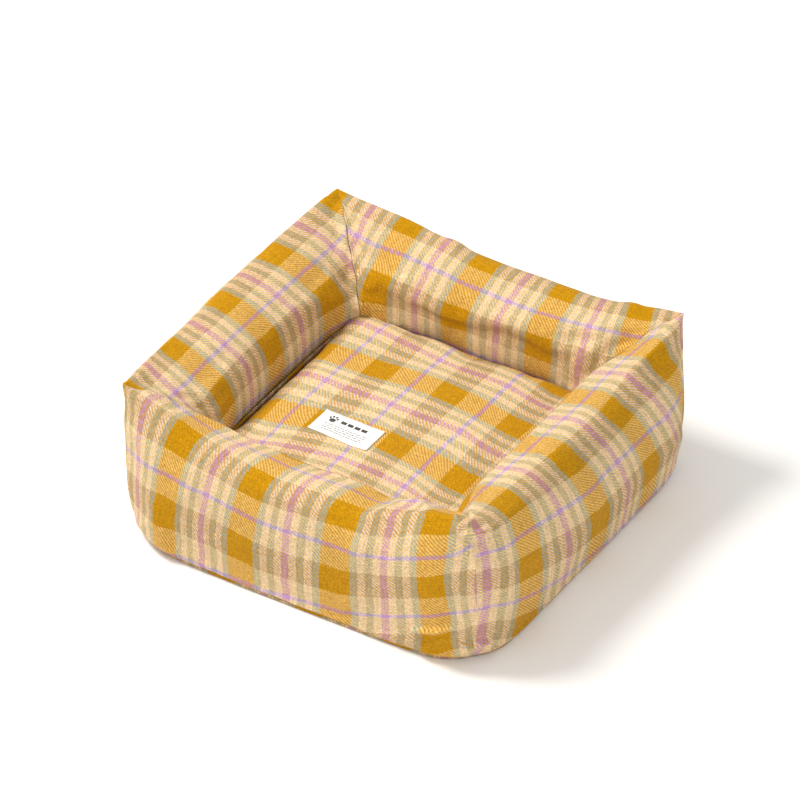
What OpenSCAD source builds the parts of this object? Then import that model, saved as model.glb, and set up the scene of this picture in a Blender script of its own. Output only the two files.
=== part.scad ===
// Square pet cushion bed: four plump bolster walls mitred into a ring, a padded
// base, and a loose zipped cushion that lifts out. The origin is on the floor
// below the middle of the bed, the front wall faces -Y and +Z is up.

/* [Bed] */
// Overall width along the front wall, at the bulge of the side walls
bed_w = 478; // [460:2:500]
// Overall depth, at the bulge of the front and back walls
bed_d = 462; // [446:2:484]
// Height of the pinched corner peaks
peak_h = 192; // [185:1:205]
// Height of the back and side walls' tops halfway between two corners
ridge_h = 183; // [174:1:190]
// Height of the front wall's top, which is lower for the pet to step over
front_ridge_h = 148; // [140:1:183]

/* [Walls] */
// Thickness of a wall halfway along it
wall_t = 86; // [80:1:90]
// How far a corner stands inside the bulge of the walls beside it
corner_pull = 30; // [24:1:34]
// Height at which a wall is widest
bulge_z = 72; // [65:1:80]
// Thickness of the woven wall cover
cover_t = 1.4; // [1:0.1:2]

/* [Base] */
// How far the foot of a wall tucks in under its bulge
foot_tuck = 22; // [18:1:28]
// Thickness of the non-slip base cloth
base_t = 1.2; // [0.8:0.1:1.5]
// Thickness of the wadding under the loose cushion
wadding_t = 20; // [14:0.5:24]

/* [Cushion] */
// Height of the cushion's crown above the floor
crown_z = 99; // [92:1:106]
// Height of the seam round the cushion
seam_z = 56; // [52:1:60]
// Gap between the cushion's corners and the lining
cushion_gap = 1.5; // [1:0.1:4]
// How far the middle of a side is pulled in from its corners
side_pull = 3; // [2:1:8]

/* [Zip] */
// Length of the zip coil
zip_len = 264; // [200:2:264]
// Width of one zip tape
tape_w = 10; // [8:0.5:11]
// Length of the pull tab below its pivot
pull_len = 17; // [12:1:20]

/* [Label] */
// Length of the label
label_l = 71; // [50:1:80]
// Width of the label
label_w = 36; // [25:1:45]

/* [Hidden] */
$fn = 48;

// Clearances: between sewn pieces of one body, and between a moving piece and its neighbour
sewn_gap = 0.2;
run_gap = 0.35;

// Walls. A wall point is told by r, its distance from the bed's middle towards
// the outside, by z, and by u, its place along the wall from -1 to 1. The ends
// are cut on the 45 degree mitre, where the wall's half length is r plus or
// minus a constant, so all four walls share one profile.
mitre_shift = (bed_w - bed_d) / 2;
bulge_r = bed_d / 2;
inner_r = bulge_r - wall_t;
peak_r = bulge_r - corner_pull;
ridge_r = inner_r + wall_t / 2;
upstand_t = 0.6;
upstand_top = 92;
inner_straight_z = upstand_top + 2;
binding_h = 5;
binding_t = 1.4;
cover_foot_z = base_t + sewn_gap;
outer_foot_z = binding_h + 1.2;
foot_r = bulge_r - foot_tuck;
foot_corner_pull = 14;
seam_half_t = 0.5;
seam_allowance = 8;
// At a peak the two faces meet so steeply that a layer's top lies this many layers down
peak_depth = 4;
// How square the inner face is at a peak: just over 1, a nearly straight line
peak_square = 1.05;
// Each wall stops this far short of the mitre plane, measured along the wall
cover_end_gap = (seam_half_t + sewn_gap) * sqrt(2);
fill_end_gap = (seam_half_t + 2 * sewn_gap) * sqrt(2);
wall_spans = 12;
curve_steps = 6;

// Base, from the floor up
wadding_z = base_t + sewn_gap;
lining_z = wadding_z + wadding_t + sewn_gap;
lining_t = 1;
lining_r = inner_r - sewn_gap;

// Cushion. Its outline is told by a and b, from -1 to 1 across and along it.
cushion_half_w = inner_r + mitre_shift - upstand_t - sewn_gap - cushion_gap;
cushion_half_d = inner_r - upstand_t - sewn_gap - cushion_gap;
cushion_base_z = lining_z + lining_t + 0.8;
rear_y = cushion_half_d - 8.4;
zip_band = 11;
band_edge = 0.92;
seam_gap = 0.4;
panel_t = 1.2;
fill_gap = 2.0;
grid_n = 7;

// Zip, on the rear side of the cushion
tape_t = 0.8;
coil_w = 3.6;
coil_t = 2;
coil_y = rear_y + 0.1;
stop_l = 2.5;
slider_l = 11;
slider_w = 8.4;
plate_y = coil_y + coil_t + run_gap;
plate_t = 1.6;
bail_r = 0.7;
bail_x = 2.9;
pull_t = 1;
pull_y = plate_y + plate_t + run_gap;
bail_y = pull_y + pull_t + run_gap;
bail_t = 1.1;
slider_x = zip_len / 2 - stop_l - slider_l / 2 - 0.7;

// Label, on the cushion's crown
label_pos = [-35, -55];
label_turn = -1;
label_t = 0.5;
label_z = crown_z + 0.3;
stitch_inset = 2.2;
stitch_w = 0.6;
stitch_t = 0.3;

plaid_colour = "#D9A441";
lining_colour = "#E8D2A0";
fibre_colour = "#F4F1EA";
base_colour = "#5B5147";
thread_colour = "#C7B48A";
zip_colour = "#C99A2E";
metal_colour = "#B9B4A8";
label_colour = "#F7F5F0";

function mix(from, to, share) = from + (to - from) * share;

// 0 along most of the wall and 1 at its pinched ends
function pinch(u) = pow(abs(u), 4);

// Point on a quarter of a superellipse: square is 1 for a straight line, 2 for a true ellipse
function quarter(angle, square) = [pow(cos(angle), 2 / square), pow(sin(angle), 2 / square)];

// Footprint of the walls at the floor
function foot_edge_r(u) = foot_r - foot_corner_pull * pow(abs(u), 6);

// A wall's section as [r, z] points, from the outer foot over the ridge to the
// inner foot, drawn inset from the outer surface
function wall_section(u, inset, outer_z, inner_z, ridge) =
    let (p = pinch(u),
         widest = mix(bulge_r, peak_r + 1, p) - inset,
         foot = foot_edge_r(u) - inset,
         top_r = mix(ridge_r, peak_r - inset, p),
         top_z = mix(ridge, peak_h, p) - inset * mix(1, peak_depth, p),
         outer_square = mix(2.5, 1.4, p),
         inner_square = mix(2.3, peak_square, p),
         face = inner_r + inset,
         step = 90 / curve_steps)
    concat(
        [for (i = [0:curve_steps - 1])
            let (q = quarter(90 - i * step, 2))
            [mix(foot, widest, q[0]), mix(bulge_z, outer_z, q[1])]],
        [for (i = [0:curve_steps])
            let (q = quarter(i * step, outer_square))
            [mix(top_r, widest, q[0]), mix(bulge_z, top_z, q[1])]],
        [for (i = [1:curve_steps])
            let (q = quarter(90 - i * step, inner_square))
            [mix(top_r, face, q[0]), mix(inner_straight_z, top_z, q[1])]],
        [[face, inner_z]]);

function wall_u(i) = sin(90 * (2 * i / wall_spans - 1));

// Point of the front wall, before it is turned to its side
function front_point(u, rz, end_gap, shift) =
    [u * (rz[0] + shift - end_gap), -rz[0], rz[1]];

// Quads between successive rings of points, closed all round
function ring_quads(rings, size) =
    [for (i = [0:rings - 2], j = [0:size - 1])
        let (k = (j + 1) % size)
        [i * size + j, i * size + k, (i + 1) * size + k, (i + 1) * size + j]];

// Quads that close a ring of an even number of points by pairing it with itself
function cap_quads(start, size, flip) =
    [for (j = [0:size / 2 - 2])
        let (q = [start + j, start + j + 1, start + size - 2 - j, start + size - 1 - j])
        flip ? [q[3], q[2], q[1], q[0]] : q];

// Each quad as two triangles, because its corners need not lie in one plane
function triangles(quads) =
    [for (q = quads, t = [[0, 1, 2], [0, 2, 3]]) [q[t[0]], q[t[1]], q[t[2]]]];

// Skin through a row of rings with capped ends
module loft(rings) {
    size = len(rings[0]);
    polyhedron(
        points = [for (ring = rings, point = ring) point],
        faces = triangles(concat(
            ring_quads(len(rings), size),
            cap_quads(0, size, true),
            cap_quads((len(rings) - 1) * size, size, false))));
}

function reversed(list) = [for (i = [len(list) - 1:-1:0]) list[i]];

// One bolster's cover: a fabric panel from the outer foot over to the inner foot
module wall_shell(shift, ridge) {
    loft([for (i = [0:wall_spans])
        let (u = wall_u(i),
             outside = wall_section(u, 0, outer_foot_z, cover_foot_z, ridge),
             inside = wall_section(u, cover_t, outer_foot_z, cover_foot_z, ridge))
        [for (rz = concat(outside, reversed(inside)))
            front_point(u, rz, cover_end_gap, shift)]]);
}

// The stuffing inside one bolster
module wall_stuffing(shift, ridge) {
    inset = cover_t + fill_gap;
    loft([for (i = [0:wall_spans])
        let (u = wall_u(i),
             section = wall_section(u, inset, outer_foot_z, cover_foot_z + fill_gap, ridge))
        [for (rz = section) front_point(u, rz, fill_end_gap, shift)]]);
}

// Puts a front wall's shape on the named side. The side walls are turned by 90
// degrees, so their mitre shift changes sign and they stand further out.
module on_side(side) {
    if (side == "front") children();
    if (side == "back") rotate(180) children();
    if (side == "left") translate([-mitre_shift, 0, 0]) rotate(-90) children();
    if (side == "right") translate([mitre_shift, 0, 0]) rotate(90) children();
}

function side_shift(side) = (side == "front" || side == "back") ? mitre_shift : 0;
function side_ridge(side) = side == "front" ? front_ridge_h : ridge_h;

module wall_cover(side) {
    color(plaid_colour) on_side(side) wall_shell(side_shift(side), side_ridge(side));
}

module wall_fill(side) {
    color(fibre_colour) on_side(side) wall_stuffing(side_shift(side), side_ridge(side));
}

// Point of the inner corner line, from the lining (0) up to the peak (1)
function corner_line(share) =
    let (q = quarter(90 * share, peak_square))
    [mix(peak_r, inner_r, q[0]), mix(inner_straight_z, peak_h, q[1])];

// Seam allowances of two wall panels, sewn together down the inner corner from
// the peak, as a strip on the mitre plane
module corner_seam(x_side, y_side) {
    visible = [for (i = [0:curve_steps]) corner_line(i / curve_steps)];
    hidden = [for (i = [0:curve_steps])
        let (share = i / curve_steps)
        visible[i] + [mix(seam_allowance, 0.4, share), -mix(0, peak_depth, share)]];
    diagonal = sqrt(2);
    color(thread_colour)
        mirror([x_side < 0 ? 1 : 0, 0, 0])
        mirror([0, y_side < 0 ? 1 : 0, 0])
        translate([mitre_shift, 0, 0])
        rotate([90, 0, 45])
        translate([0, 0, -seam_half_t])
        linear_extrude(2 * seam_half_t)
        polygon([for (rz = concat(visible, reversed(hidden))) [rz[0] * diagonal, rz[1]]]);
}

// Outline of the bed at the floor, grown by a margin
module floor_outline(margin) {
    steps = 16;
    side_u = [for (i = [0:steps - 1]) 2 * i / steps - 1];
    polygon(concat(
        [for (u = side_u) let (r = foot_edge_r(u) + margin) [u * (r + mitre_shift), -r]],
        [for (u = side_u) let (r = foot_edge_r(u) + margin) [r + mitre_shift, u * r]],
        [for (u = side_u) let (r = foot_edge_r(u) + margin) [-u * (r + mitre_shift), r]],
        [for (u = side_u) let (r = foot_edge_r(u) + margin) [-r - mitre_shift, -u * r]]));
}

module base_cloth() {
    color(base_colour)
        linear_extrude(base_t) floor_outline(-binding_t - sewn_gap);
}

// Narrow band that binds the wall covers to the base cloth
module base_binding() {
    lift = 0.6;
    color(plaid_colour)
        translate([0, 0, lift]) linear_extrude(binding_h) difference() {
            floor_outline(0);
            floor_outline(-binding_t);
        }
}

module inside_square(margin) {
    half = lining_r - margin;
    square([2 * (half + mitre_shift), 2 * half], center = true);
}

module base_wadding() {
    color(fibre_colour) translate([0, 0, wadding_z])
        linear_extrude(wadding_t) inside_square(1);
}

module floor_lining() {
    color(lining_colour) translate([0, 0, lining_z])
        linear_extrude(lining_t) inside_square(upstand_t + sewn_gap);
}

// The lining's edge, turned up the inner faces of the walls and sewn to them
module lining_upstand() {
    color(plaid_colour) translate([0, 0, lining_z])
        linear_extrude(upstand_top - lining_z) difference() {
            inside_square(0);
            inside_square(upstand_t);
        }
}

// 1 along the middle of the rear side and 0 at its two corners
function rear_share(a) = 1 - max(0, (abs(a) - band_edge) / (1 - band_edge));

// How far the surfaces have risen between the seam (0) and the crown (1)
function swell(a, b) = pow(max(0, (1 - pow(a, 8)) * (1 - pow(b, 8))), 0.4);

// Outline of the cushion, inset from its outer surface
function cushion_x(a, b, inset) = a * (cushion_half_w - side_pull * (1 - b * b) - inset);
function cushion_y(a, b, inset) =
    let (front_half = cushion_half_d - side_pull * (1 - a * a),
         rear_half = mix(cushion_half_d, rear_y, rear_share(a)))
    b * ((b < 0 ? front_half : rear_half) - inset);

// Height that the rim leaves the seam by, to make room for the zip at the rear
function rim_rise(a, b) = seam_gap / 2 + (b > 0 ? zip_band * rear_share(a) * pow(b, 4) : 0);
function top_point(a, b, inset) =
    let (rim = seam_z + rim_rise(a, b))
    [cushion_x(a, b, inset), cushion_y(a, b, inset), mix(rim, crown_z - inset, swell(a, b))];
function bottom_point(a, b, inset) =
    let (rim = seam_z - rim_rise(a, b))
    [cushion_x(a, b, inset), cushion_y(a, b, inset),
     mix(rim, cushion_base_z + inset, swell(a, b))];

function grid_place(i) = sin(90 * i / grid_n);
grid_size = 2 * grid_n + 1;

// Two sheets of points over the same grid, joined round their edges
module sheet_pair(upper, lower) {
    n = grid_size;
    sheet = n * n;
    edge = concat([for (i = [0:n - 2]) i], [for (i = [0:n - 2]) (i + 1) * n - 1],
        [for (i = [0:n - 2]) sheet - 1 - i], [for (i = [0:n - 2]) sheet - n - i * n]);
    cells = [for (i = [0:n - 2], j = [0:n - 2]) i * n + j];
    polyhedron(
        points = concat(upper, lower),
        faces = triangles(concat(
            [for (c = cells) [c, c + n, c + n + 1, c + 1]],
            [for (c = cells) [sheet + c, sheet + c + 1, sheet + c + n + 1, sheet + c + n]],
            [for (i = [0:len(edge) - 1])
                let (here = edge[i], next = edge[(i + 1) % len(edge)])
                [here, next, sheet + next, sheet + here]])));
}

grid_ab = [for (i = [-grid_n:grid_n], j = [-grid_n:grid_n]) [grid_place(j), grid_place(i)]];

module cushion_top_cover() {
    color(plaid_colour) sheet_pair(
        [for (ab = grid_ab) top_point(ab[0], ab[1], 0)],
        [for (ab = grid_ab) top_point(ab[0], ab[1], panel_t)]);
}

module cushion_bottom_cover() {
    color(plaid_colour) sheet_pair(
        [for (ab = grid_ab) bottom_point(ab[0], ab[1], panel_t)],
        [for (ab = grid_ab) bottom_point(ab[0], ab[1], 0)]);
}

module cushion_fill() {
    inset = panel_t + fill_gap;
    color(fibre_colour) sheet_pair(
        [for (ab = grid_ab) top_point(ab[0], ab[1], inset)],
        [for (ab = grid_ab) bottom_point(ab[0], ab[1], inset)]);
}

// A strip of the zip from its lowest corner, centred along X
module zip_strip(length, y, thickness, z, height) {
    translate([-length / 2, y, z]) cube([length, thickness, height]);
}

module zip_tape(z) {
    color(zip_colour) zip_strip(zip_len + 4, rear_y - tape_t, tape_t, z, tape_w);
}

module zip_tape_upper() {
    zip_tape(seam_z + zip_band - tape_w);
}

module zip_tape_lower() {
    zip_tape(seam_z - zip_band);
}

module zip_coil() {
    coil_len = zip_len - 2 * stop_l - 2 * sewn_gap;
    color(zip_colour) zip_strip(coil_len, coil_y, coil_t, seam_z - coil_w / 2, coil_w);
}

module zip_end_stops() {
    stop_h = coil_w + 0.4;
    color(metal_colour) for (x_side = [-1, 1])
        translate([x_side * (zip_len - stop_l) / 2, coil_y + coil_t / 2, seam_z])
        cube([stop_l, coil_t, stop_h], center = true);
}

// Saddle that runs over the coil, with a bail that holds the pull tab
module zip_slider() {
    lip_inner = coil_w / 2 + run_gap;
    lip_h = slider_w / 2 - lip_inner;
    lip_y = rear_y + run_gap;
    color(metal_colour) translate([slider_x, 0, seam_z]) {
        zip_strip(slider_l, plate_y, plate_t, -slider_w / 2, slider_w);
        for (z = [lip_inner, -lip_inner - lip_h])
            zip_strip(slider_l, lip_y, plate_y - lip_y + 0.1, z, lip_h);
        for (x = [-bail_x, bail_x])
            translate([x, plate_y + plate_t / 2, 0]) rotate([-90, 0, 0])
            cylinder(r = bail_r, h = bail_y - plate_y - plate_t / 2 + bail_t / 2);
        zip_strip(2 * (bail_x + bail_r), bail_y, bail_t, -bail_r, 2 * bail_r);
    }
}

// Tab with an eye at its top, hanging on the bail's right leg
module zip_pull() {
    eye_r = 2.3;
    hole_r = bail_r + 0.1;
    neck_w = 3;
    tip_w = 5;
    tip_r = tip_w / 2;
    tip_y = tip_r - pull_len;
    cut_past = 1;
    color(metal_colour)
        translate([slider_x + bail_x, pull_y + pull_t, seam_z]) rotate([90, 0, 0])
        difference() {
            union() {
                cylinder(r = eye_r, h = pull_t);
                linear_extrude(pull_t)
                    polygon([[-neck_w / 2, 0], [neck_w / 2, 0], [tip_r, tip_y], [-tip_r, tip_y]]);
                translate([0, tip_y, 0]) cylinder(r = tip_r, h = pull_t);
            }
            translate([0, 0, -cut_past]) cylinder(r = hole_r, h = pull_t + 2 * cut_past);
            translate([0, tip_y, -cut_past]) cylinder(r = tip_r / 2, h = pull_t + 2 * cut_past);
        }
}

module on_label(z) {
    translate([label_pos[0], label_pos[1], z]) rotate(label_turn) children();
}

module label() {
    color(label_colour) on_label(label_z)
        linear_extrude(label_t) square([label_l, label_w], center = true);
}

// Thread round the label's edge
module label_stitches() {
    inner = 2 * (stitch_inset + stitch_w);
    color(thread_colour) on_label(label_z + label_t)
        linear_extrude(stitch_t) difference() {
            square([label_l - 2 * stitch_inset, label_w - 2 * stitch_inset], center = true);
            square([label_l - inner, label_w - inner], center = true);
        }
}

wall_cover("front");  // front_wall_cover
wall_cover("back");  // back_wall_cover
wall_cover("left");  // left_wall_cover
wall_cover("right");  // right_wall_cover
wall_fill("front");  // front_wall_fill
wall_fill("back");  // back_wall_fill
wall_fill("left");  // left_wall_fill
wall_fill("right");  // right_wall_fill
corner_seam(-1, -1);  // corner_seam_front_left
corner_seam(1, -1);  // corner_seam_front_right
corner_seam(-1, 1);  // corner_seam_back_left
corner_seam(1, 1);  // corner_seam_back_right
base_cloth();
base_binding();
base_wadding();
floor_lining();
lining_upstand();
cushion_top_cover();
cushion_bottom_cover();
cushion_fill();
zip_tape_upper();
zip_tape_lower();
zip_coil();
zip_end_stops();
zip_slider();
zip_pull();
label();
label_stitches();
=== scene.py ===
"""Square plaid pet bed: plump mitred bolster walls round a loose, zipped cushion."""
import math

import bpy
import numpy as np
from mathutils import Euler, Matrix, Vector, noise
from mathutils.bvhtree import BVHTree


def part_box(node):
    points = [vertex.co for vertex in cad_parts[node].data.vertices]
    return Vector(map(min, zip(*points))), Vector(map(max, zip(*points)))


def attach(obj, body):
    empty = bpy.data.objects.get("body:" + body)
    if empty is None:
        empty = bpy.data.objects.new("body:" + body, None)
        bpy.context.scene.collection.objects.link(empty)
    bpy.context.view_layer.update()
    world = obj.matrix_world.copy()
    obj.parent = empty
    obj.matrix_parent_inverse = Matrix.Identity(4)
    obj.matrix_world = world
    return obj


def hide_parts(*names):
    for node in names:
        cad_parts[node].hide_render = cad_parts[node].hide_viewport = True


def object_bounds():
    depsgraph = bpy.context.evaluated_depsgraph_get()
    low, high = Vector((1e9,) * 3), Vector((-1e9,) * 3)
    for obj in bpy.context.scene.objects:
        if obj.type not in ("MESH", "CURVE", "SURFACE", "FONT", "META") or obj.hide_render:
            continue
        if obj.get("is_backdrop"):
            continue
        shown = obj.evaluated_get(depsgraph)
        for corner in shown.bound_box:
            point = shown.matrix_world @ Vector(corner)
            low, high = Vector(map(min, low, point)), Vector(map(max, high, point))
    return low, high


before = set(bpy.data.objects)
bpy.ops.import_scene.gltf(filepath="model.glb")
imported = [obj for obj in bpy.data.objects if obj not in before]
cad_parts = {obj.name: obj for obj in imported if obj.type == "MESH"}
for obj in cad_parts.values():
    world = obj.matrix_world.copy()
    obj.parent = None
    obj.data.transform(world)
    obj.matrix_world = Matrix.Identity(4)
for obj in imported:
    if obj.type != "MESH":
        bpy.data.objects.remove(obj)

MM = 0.001
cad_low, cad_high = (list(corner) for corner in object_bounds())

# ---------------------------------------------------------------- camera, light, floor
CAMERA_AZIMUTH = math.radians(32)
CAMERA_ELEVATION = math.radians(36.7)
CAMERA_DISTANCE = 8.0
CAMERA_TARGET = Vector((-0.027, 0.0345, 0.090))
LENS_MM, SENSOR_MM = 352, 36
LIGHT_TARGET = Vector((0, 0, 0.08))
FLOOR_HALF = 12


def add_camera():
    data = bpy.data.cameras.new("camera")
    data.lens, data.sensor_width = LENS_MM, SENSOR_MM
    camera = bpy.data.objects.new("camera", data)
    turn = Euler((math.pi / 2 - CAMERA_ELEVATION, 0, CAMERA_AZIMUTH))
    camera.rotation_euler = turn
    camera.location = CAMERA_TARGET + turn.to_matrix() @ Vector((0, 0, CAMERA_DISTANCE))
    bpy.context.scene.collection.objects.link(camera)
    bpy.context.scene.camera = camera


def add_area_light(name, place, size, power, colour):
    data = bpy.data.lights.new(name, "AREA")
    data.shape, data.size, data.energy, data.color = "DISK", size, power, colour
    light = bpy.data.objects.new(name, data)
    light.location = place
    light.rotation_euler = (Vector(place) - LIGHT_TARGET).to_track_quat("Z", "Y").to_euler()
    bpy.context.scene.collection.objects.link(light)


def add_studio():
    world = bpy.data.worlds.new("studio")
    world.use_nodes = True
    sky = world.node_tree.nodes["Background"].inputs
    sky["Color"].default_value = (1, 0.985, 0.96, 1)
    sky["Strength"].default_value = 0.72
    bpy.context.scene.world = world
    add_area_light("key", (-1.3, -0.5, 2.3), 0.9, 58, (1, 0.97, 0.92))
    add_area_light("fill", (1.7, -1.6, 1.5), 1.8, 14, (1, 0.98, 0.96))
    mesh = bpy.data.meshes.new("floor")
    corners = ((-1, -1), (1, -1), (1, 1), (-1, 1))
    mesh.from_pydata([(x * FLOOR_HALF, y * FLOOR_HALF, 0) for x, y in corners], [], [(0, 1, 2, 3)])
    floor = bpy.data.objects.new("floor", mesh)
    floor.location.z = cad_low[2] - 0.2 * MM
    bpy.context.scene.collection.objects.link(floor)
    paper = Material("studio_floor")
    paper.shader((0.92, 0.92, 0.915), 0.7)
    mesh.materials.append(paper.material)
    floor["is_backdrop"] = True
    view = bpy.context.scene.view_settings
    view.view_transform = "Standard"
    view.look = "None"


# ---------------------------------------------------------------- materials
def linear(red, green, blue):
    """Linear colour of a screen colour given from 0 to 255."""
    def one(value):
        value /= 255
        return value / 12.92 if value <= 0.04045 else ((value + 0.055) / 1.055) ** 2.4
    return one(red), one(green), one(blue)


class Material:
    """A node material, built by short calls that return sockets."""

    def __init__(self, name):
        self.material = bpy.data.materials.new(name)
        self.material.use_nodes = True
        self.tree = self.material.node_tree
        self.surface = self.tree.nodes["Principled BSDF"]

    def node(self, kind, **settings):
        made = self.tree.nodes.new(kind)
        for key, value in settings.items():
            setattr(made, key, value)
        return made

    def put(self, socket, value):
        if isinstance(value, bpy.types.NodeSocket):
            self.tree.links.new(value, socket)
        elif value is not None:
            socket.default_value = value

    def math(self, operation, first, second=None, third=None, clamp=False):
        made = self.node("ShaderNodeMath", operation=operation, use_clamp=clamp)
        for socket, value in zip(made.inputs, (first, second, third)):
            self.put(socket, value)
        return made.outputs[0]

    def times(self, first, second):
        return self.math("MULTIPLY", first, second)

    def times_add(self, first, factor, added, clamp=False):
        return self.math("MULTIPLY_ADD", first, factor, added, clamp)

    def mix(self, share, first, second, blend="MIX"):
        made = self.node("ShaderNodeMix", data_type="RGBA", blend_type=blend)
        self.put(made.inputs["Factor"], share)
        for socket, value in ((made.inputs[6], first), (made.inputs[7], second)):
            self.put(socket, (*value, 1) if isinstance(value, tuple) else value)
        return made.outputs[2]

    def steps(self, place, colours):
        """Colour at a place from 0 to 1, with colours as (start, colour) pairs."""
        made = self.node("ShaderNodeValToRGB")
        ramp = made.color_ramp
        ramp.interpolation = "CONSTANT"
        while len(ramp.elements) < len(colours):
            ramp.elements.new(0.5)
        for element, (start, colour) in zip(ramp.elements, colours):
            element.position = start
            element.color = (*colour, 1)
        self.put(made.inputs["Fac"], place)
        return made.outputs["Color"]

    def noise(self, vector, scale, detail=2.0, roughness=0.5, kind="Fac"):
        made = self.node("ShaderNodeTexNoise")
        self.put(made.inputs["Vector"], vector)
        made.inputs["Scale"].default_value = scale
        made.inputs["Detail"].default_value = detail
        made.inputs["Roughness"].default_value = roughness
        return made.outputs[kind]

    def place(self):
        return self.node("ShaderNodeTexCoord").outputs["Object"]

    def combine(self, x, y, z=0.0):
        made = self.node("ShaderNodeCombineXYZ")
        for socket, value in zip(made.inputs, (x, y, z)):
            self.put(socket, value)
        return made.outputs[0]

    def split(self, vector):
        made = self.node("ShaderNodeSeparateXYZ")
        self.put(made.inputs[0], vector)
        return made.outputs

    def weave(self):
        """The cloth's own coordinates in millimetres, along its two yarns."""
        uv = self.split(self.node("ShaderNodeUVMap", uv_map=CLOTH_UV).outputs["UV"])
        return self.times(uv["X"], 1 / MM), self.times(uv["Y"], 1 / MM)

    def shader(self, base, roughness, bump=None, bump_mm=0.0, metallic=0.0, sheen=0.0,
               sheen_tint=(1, 1, 1), specular=0.3):
        surface = self.surface.inputs
        self.put(surface["Base Color"], (*base, 1) if isinstance(base, tuple) else base)
        self.put(surface["Roughness"], roughness)
        surface["Metallic"].default_value = metallic
        surface["Specular IOR Level"].default_value = specular
        surface["Sheen Weight"].default_value = sheen
        surface["Sheen Roughness"].default_value = 0.5
        surface["Sheen Tint"].default_value = (*sheen_tint, 1)
        if bump is not None:
            made = self.node("ShaderNodeBump")
            made.inputs["Strength"].default_value = 1.0
            made.inputs["Distance"].default_value = bump_mm * MM
            self.put(made.inputs["Height"], bump)
            self.put(surface["Normal"], made.outputs[0])
        return self.material


CLOTH_UV = "weave"

# Yarn colours of the plaid
MUSTARD = linear(181, 129, 6)
CREAM = linear(217, 199, 178)
CREAM_WEFT = linear(218, 178, 108)
GREY_BLUE = linear(142, 159, 150)
SAGE = linear(152, 160, 146)
LAVENDER = linear(177, 139, 182)

# The wide sett is told in stripes of one unit: a mustard block, then nine thin stripes. The
# plain sett is told in millimetres: one mustard block and a thin stripe in the cream.
SETTS = {
    "wide": [(MUSTARD, 4), (GREY_BLUE, 1), (CREAM, 1), (SAGE, 1), (CREAM, 1), (LAVENDER, 1),
             (CREAM, 1), (SAGE, 1), (CREAM, 1), (GREY_BLUE, 1)],
    "plain": [(MUSTARD, 33), (CREAM_WEFT, 24), (LAVENDER, 5), (CREAM_WEFT, 24)],
}
SETT_UNIT_MM = {"wide": 8.05, "plain": 1.0}
SETT_LENGTH_MM = {sett: SETT_UNIT_MM[sett] * sum(width for _, width in stripes)
                  for sett, stripes in SETTS.items()}
# Lines of the plaid: middles of the mustard block (even) and of the lavender stripe (odd)
SETT_LINES_MM = {sett: (SETT_UNIT_MM[sett] * stripes[0][1] / 2, SETT_LENGTH_MM[sett] / 2)
                 for sett, stripes in SETTS.items()}
YARN_MM = 1.1
RIB_MM = 4 * YARN_MM
# How far the yarns wander, and how far their fibres reach past a stripe's edge
DRIFT_MM, FRAY_MM = 2.4, 3.4


def sett_steps(sett):
    """Where each stripe of a sett starts, as a share of its repeat."""
    total = sum(width for _, width in sett)
    start, steps = 0.0, []
    for colour, width in sett:
        steps.append((start / total, colour))
        start += width
    return steps


def plaid_material():
    cloth = Material("plaid_twill")
    raw_wide, raw_plain = cloth.weave()
    # Yarns never run quite straight
    drift = cloth.split(cloth.noise(cloth.combine(raw_wide, raw_plain), 0.03, 2.0, 0.5, "Color"))
    wide = cloth.times_add(drift[0], DRIFT_MM, raw_wide)
    plain = cloth.times_add(drift[1], DRIFT_MM, raw_plain)
    # Loose fibres blur the edges of the stripes
    fray = cloth.split(cloth.noise(cloth.combine(raw_wide, raw_plain, 2.0), 0.55, 2.0, 0.6,
                                   "Color"))

    def yarns(place, ends, sett):
        repeats = cloth.math("DIVIDE", cloth.times_add(ends, FRAY_MM, place), SETT_LENGTH_MM[sett])
        return cloth.steps(cloth.math("FRACT", repeats), sett_steps(SETTS[sett]))

    warp = yarns(wide, fray[0], "wide")
    weft = yarns(plain, fray[1], "plain")
    # Two over, two under: the yarn on top changes along the diagonal
    wave = cloth.math("SINE", cloth.times(cloth.math("ADD", wide, plain), math.tau / RIB_MM))
    frayed = cloth.noise(cloth.combine(wide, plain, 5.0), 0.48, 3.0, 0.7)
    on_top = cloth.times_add(wave, 0.34, cloth.times_add(frayed, 1.3, -0.15), clamp=True)
    colour = cloth.mix(on_top, warp, weft)

    def streaks(across, along, seed):
        """Each yarn's own shade, stretched along it."""
        return cloth.noise(cloth.combine(across, along, seed), 1.0, 1.0)

    streak = cloth.math("ADD", streaks(cloth.times(wide, 1 / YARN_MM), cloth.times(plain, 0.05), 0),
                        streaks(cloth.times(wide, 0.05), cloth.times(plain, 1 / YARN_MM), 7.0))
    fibres = cloth.noise(cloth.combine(wide, plain, 3.0), 1.3, 3.0, 0.7)
    patches = cloth.noise(cloth.combine(wide, plain, 11.0), 0.016, 2.0)
    nubs = cloth.noise(cloth.combine(wide, plain, 17.0), 0.42, 1.0, 0.5)
    # The yarns' own tone, which varies at random, times a little painted shade that darkens the
    # grooves between the twill's ribs (wave)
    yarn_tone_and_rib_shade = 1.0
    for pattern, middle, strength in ((streak, 1, 0.50), (fibres, 0.5, 0.62), (patches, 0.5, 0.12),
                                      (nubs, 0.5, 0.80), (wave, 0, 0.05)):
        yarn_tone_and_rib_shade = cloth.times(yarn_tone_and_rib_shade, cloth.times_add(pattern, strength, 1 - strength * middle))
    colour = cloth.mix(1.0, colour, cloth.combine(yarn_tone_and_rib_shade, yarn_tone_and_rib_shade, yarn_tone_and_rib_shade), "MULTIPLY")
    fine = cloth.math("SINE", cloth.times(plain, math.tau / YARN_MM))
    height = cloth.times_add(fine, 0.12, cloth.times_add(wave, 0.5, cloth.times(fibres, 0.9)))
    return cloth.shader(colour, 0.92, height, 0.16, sheen=0.10, sheen_tint=(1, 0.90, 0.62),
                        specular=0.08)


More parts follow.
